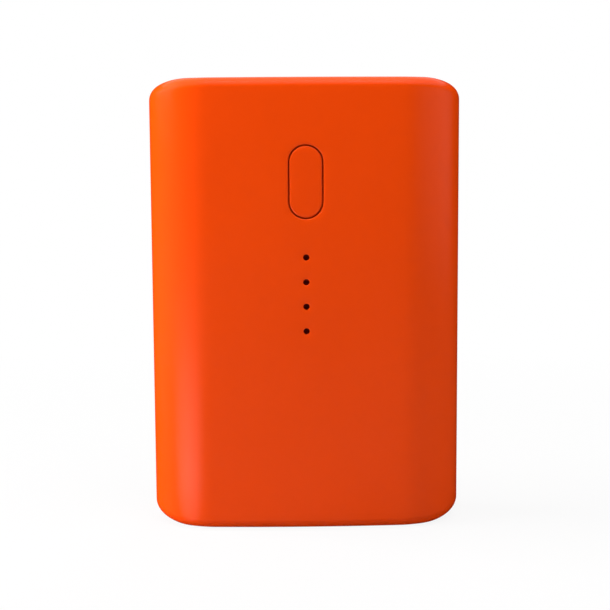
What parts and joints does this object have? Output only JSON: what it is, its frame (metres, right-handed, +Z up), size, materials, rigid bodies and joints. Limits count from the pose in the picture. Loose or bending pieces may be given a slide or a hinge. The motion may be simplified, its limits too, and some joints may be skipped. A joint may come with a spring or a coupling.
{
  "type": "jump starter pack",
  "caption": "Pocket-size jump starter pack with rounded sides, a pill-shaped power button above a column of charge lamps, and a capped jump socket beside USB ports in its top end.",
  "frame": {"origin": "middle of the lower end, level with what the pack stands on", "axes": "+Z up along the pack's length towards the ports, -Y out of the face with the button, +X to the right as seen from in front"},
  "size_m": [0.076, 0.027, 0.1088],
  "materials": {
    "shell": "soft-touch satin orange",
    "button": "soft-touch satin orange",
    "plate": "fine-grained black",
    "rubber": "matt moulded rubber",
    "socket": "glass-filled nylon",
    "contact": "gold flashed",
    "copper": "bare copper strip",
    "port_metal": "nickel plated",
    "port_white": "moulded white",
    "port_black": "moulded black",
    "guide": "clear moulding that looks dark red behind the holes",
    "lamp": "clear lens",
    "board": "green solder mask",
    "switch": "moulded black",
    "tin": "tinned",
    "package": "moulded black",
    "ferrite": "pressed powder",
    "spreader": "bare",
    "foil": "dull laminated foil",
    "tape": "double-sided tape",
    "film": "insulating sheet",
    "foam": "closed-cell foam",
    "screw": "zinc plated"
  },
  "bodies": {
    "pack": {"front_cover": "shell", "rear_cover": "shell", "port_plate": "plate", "tact_switch_body": "switch", "tact_switch_terminals": "tin", "light_guide": "guide", "charge_lamps": "lamp", "key_board": "board", "link_header_blocks": "port_black", "link_header_pins": "contact", "front_cell": "foil", "middle_cell": "foil", "rear_cell": "foil", "cell_tapes": "tape", "cell_tabs": "tin", "tab_board": "board", "thermistor": "package", "insulation_sheet": "film", "front_pad": "foam", "rear_pad": "foam", "main_board": "board", "main_board_screws": "screw", "power_transistors": "package", "heat_spreader": "spreader", "boost_inductor": "ferrite", "capacitors": "package", "control_chip": "package", "driver_chips": "package", "positive_busbar": "copper", "negative_busbar": "copper", "jump_socket_housing": "socket", "positive_contact": "contact", "negative_contact": "contact", "cover_strap": "rubber", "usb_a_shell": "port_metal", "usb_a_tongue": "port_white", "usb_a_contacts": "contact", "usb_c_shell": "port_metal", "usb_c_tongue": "port_black", "usb_c_contacts": "contact"},
    "button": {"power_button": "button", "tact_switch_plunger": "switch"},
    "flap": {"socket_cover": "rubber"}
  },
  "joints": [
    {"name": "button_press", "type": "slide", "parent": "pack", "child": "button", "axis": [0, 1, 0], "range_m": [0, 0.00025], "stiffness_N_per_m": 6000},
    {"name": "cover_swing", "type": "hinge", "parent": "pack", "child": "flap", "pos_m": [-0.0135, 0.0056, 0.1081], "axis": [-1, 0, 0], "range_deg": [0, 110]}
  ]
}
